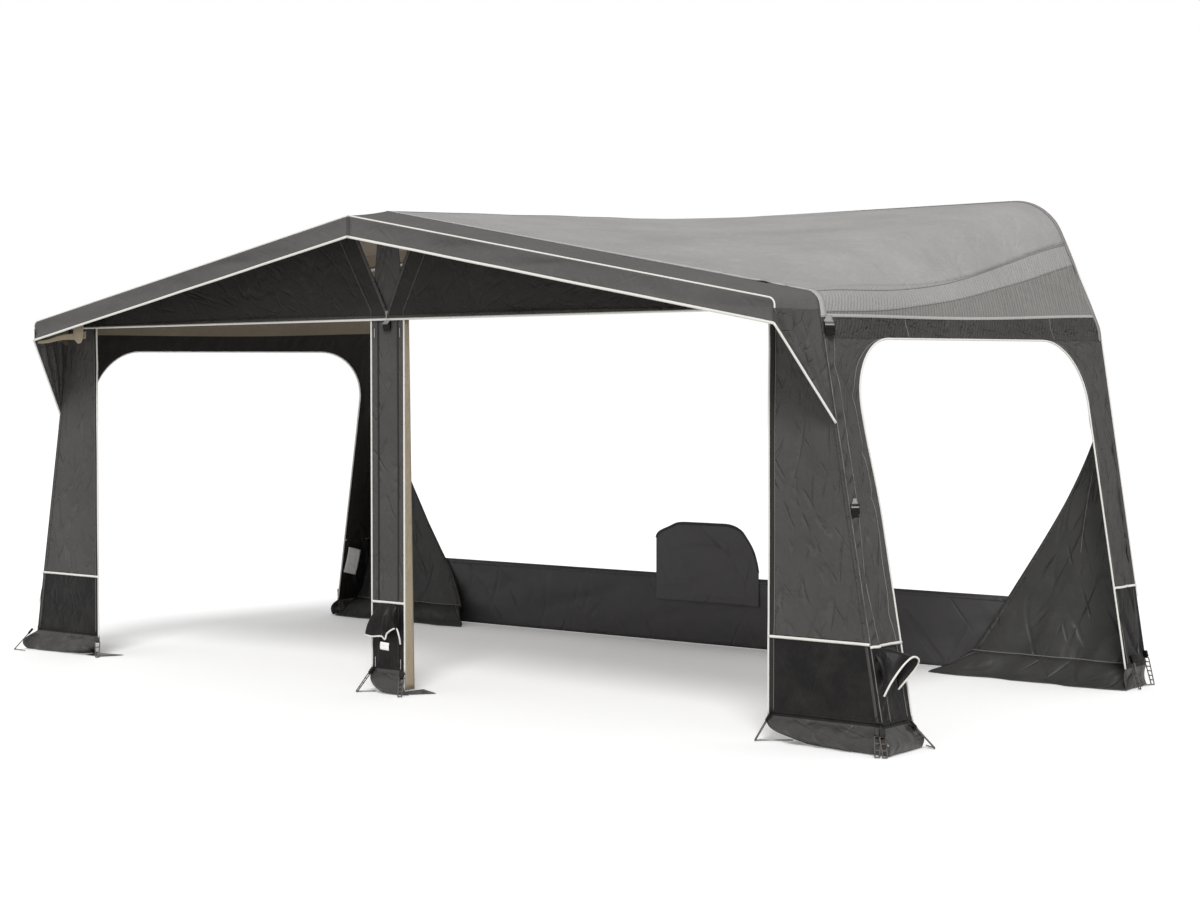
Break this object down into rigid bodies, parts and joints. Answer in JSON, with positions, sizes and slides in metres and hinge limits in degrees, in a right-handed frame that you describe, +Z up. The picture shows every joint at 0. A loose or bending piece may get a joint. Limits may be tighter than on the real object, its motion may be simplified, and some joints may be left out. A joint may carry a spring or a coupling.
{
  "type": "caravan awning",
  "caption": "Full caravan awning with a gabled front, projecting visor, open front and side walls, telescopic poles, draught skirt and wheel arch cover.",
  "frame": {"origin": "on the ground under the front centre upright, at the middle of its foot", "axes": "+X along the front to the right seen from the front, +Y from the front to the caravan, +Z up"},
  "size_m": [5.5912, 2.7885, 2.4034],
  "materials": {
    "canopy_cloth": "light grey coated woven polyester, matt",
    "wall_cloth": "dark grey coated woven polyester, matt",
    "visor_cloth": "grey coated woven polyester, matt",
    "skirt_cloth": "dark grey coated cloth, satin",
    "tube_steel": "zinc plated steel tube",
    "moulded_plastic": "black moulded plastic",
    "beading": "white piping and beading",
    "pvc_band": "black coated band and mud flap, satin",
    "webbing": "woven strap"
  },
  "bodies": {
    "canopy_and_frame": {"caravan_skirt": "skirt_cloth", "centre_buckle_socket": "moulded_plastic", "centre_rail_bracket": "tube_steel", "centre_roof_pole_outer": "tube_steel", "centre_visor_arm": "tube_steel", "front_centre_column": "wall_cloth", "front_centre_upright_upper": "tube_steel", "front_left_column": "wall_cloth", "front_left_upright_upper": "tube_steel", "front_right_column": "wall_cloth", "front_right_upright_upper": "tube_steel", "keder_beading": "beading", "left_corner_bracket": "tube_steel", "left_draught_flap": "wall_cloth", "left_gable_panel": "wall_cloth", "left_gable_rafter": "tube_steel", "left_rail_bracket": "tube_steel", "left_roof_panel": "canopy_cloth", "left_roof_pole_outer": "tube_steel", "left_roof_side": "canopy_cloth", "left_side_front_panel": "wall_cloth", "left_side_rear_panel": "wall_cloth", "left_visor": "visor_cloth", "left_visor_arm": "tube_steel", "left_visor_end": "wall_cloth", "left_visor_pole": "tube_steel", "ridge_bracket": "tube_steel", "right_corner_bracket": "tube_steel", "right_draught_flap": "wall_cloth", "right_gable_panel": "wall_cloth", "right_gable_rafter": "tube_steel", "right_rail_bracket": "tube_steel", "right_roof_panel": "canopy_cloth", "right_roof_pole_outer": "tube_steel", "right_roof_side": "canopy_cloth", "right_side_front_panel": "wall_cloth", "right_side_rear_panel": "wall_cloth", "right_visor": "visor_cloth", "right_visor_arm": "tube_steel", "right_visor_end": "wall_cloth", "right_visor_pole": "tube_steel", "wheel_arch_cover": "wall_cloth"},
    "front_left_leg": {"front_left_upright_lower": "tube_steel", "front_left_foot": "moulded_plastic"},
    "front_left_clamp_lever": {"front_left_upright_lever": "moulded_plastic"},
    "front_centre_leg": {"front_centre_upright_lower": "tube_steel", "front_centre_foot": "moulded_plastic"},
    "front_centre_clamp_lever": {"front_centre_upright_lever": "moulded_plastic"},
    "front_right_leg": {"front_right_upright_lower": "tube_steel", "front_right_foot": "moulded_plastic"},
    "front_right_clamp_lever": {"front_right_upright_lever": "moulded_plastic"},
    "left_roof_inner_pole": {"left_roof_pole_inner": "tube_steel"},
    "left_roof_clamp_lever": {"left_roof_pole_lever": "moulded_plastic"},
    "centre_roof_inner_pole": {"centre_roof_pole_inner": "tube_steel"},
    "centre_roof_clamp_lever": {"centre_roof_pole_lever": "moulded_plastic"},
    "right_roof_inner_pole": {"right_roof_pole_inner": "tube_steel"},
    "right_roof_clamp_lever": {"right_roof_pole_lever": "moulded_plastic"},
    "zip_slider": {"neck_zip_slider": "tube_steel"},
    "buckle_tongue": {"centre_buckle_tongue": "moulded_plastic"}
  },
  "joints": [
    {"name": "front_left_leg_slide", "type": "slide", "parent": "canopy_and_frame", "child": "front_left_leg", "axis": [0.177, 0, 0.9842], "range_m": [-0.2, 0.3]},
    {"name": "front_left_clamp_hinge", "type": "hinge", "parent": "canopy_and_frame", "child": "front_left_clamp_lever", "pos_m": [-2.5502, 0.025, 0.94756], "axis": [0.9842, 0, -0.177], "range_deg": [0, 110]},
    {"name": "front_centre_leg_slide", "type": "slide", "parent": "canopy_and_frame", "child": "front_centre_leg", "axis": [0, 0, 1], "range_m": [-0.2, 0.3]},
    {"name": "front_centre_clamp_hinge", "type": "hinge", "parent": "canopy_and_frame", "child": "front_centre_clamp_lever", "pos_m": [0, 0.025, 0.948], "axis": [1, 0, 0], "range_deg": [0, 110]},
    {"name": "front_right_leg_slide", "type": "slide", "parent": "canopy_and_frame", "child": "front_right_leg", "axis": [-0.177, 0, 0.9842], "range_m": [-0.2, 0.3]},
    {"name": "front_right_clamp_hinge", "type": "hinge", "parent": "canopy_and_frame", "child": "front_right_clamp_lever", "pos_m": [2.5502, 0.025, 0.94756], "axis": [0.9842, 0, 0.177], "range_deg": [0, 110]},
    {"name": "left_roof_pole_slide", "type": "slide", "parent": "canopy_and_frame", "child": "left_roof_inner_pole", "axis": [0.332, 0.9241, 0.1891], "range_m": [-0.25, 0]},
    {"name": "left_roof_clamp_hinge", "type": "hinge", "parent": "canopy_and_frame", "child": "left_roof_clamp_lever", "pos_m": [-1.90152, 1.37353, 2.06586], "axis": [-0.9411, 0.3382, 0], "range_deg": [0, 110]},
    {"name": "centre_roof_pole_slide", "type": "slide", "parent": "canopy_and_frame", "child": "centre_roof_inner_pole", "axis": [0, 0.9992, 0.039], "range_m": [-0.25, 0]},
    {"name": "centre_roof_clamp_hinge", "type": "hinge", "parent": "canopy_and_frame", "child": "centre_roof_clamp_lever", "pos_m": [0, 1.36796, 2.29519], "axis": [-1, 0, 0], "range_deg": [0, 110]},
    {"name": "right_roof_pole_slide", "type": "slide", "parent": "canopy_and_frame", "child": "right_roof_inner_pole", "axis": [-0.332, 0.9241, 0.1891], "range_m": [-0.25, 0]},
    {"name": "right_roof_clamp_hinge", "type": "hinge", "parent": "canopy_and_frame", "child": "right_roof_clamp_lever", "pos_m": [1.90152, 1.37353, 2.06586], "axis": [-0.9411, -0.3382, 0], "range_deg": [0, 110]},
    {"name": "neck_zip", "type": "slide", "parent": "canopy_and_frame", "child": "zip_slider", "axis": [0, 0, 1], "range_m": [0, 0.4]},
    {"name": "buckle_tongue_slide", "type": "slide", "parent": "canopy_and_frame", "child": "buckle_tongue", "axis": [0, 0, -1], "range_m": [0, 0.035]}
  ]
}
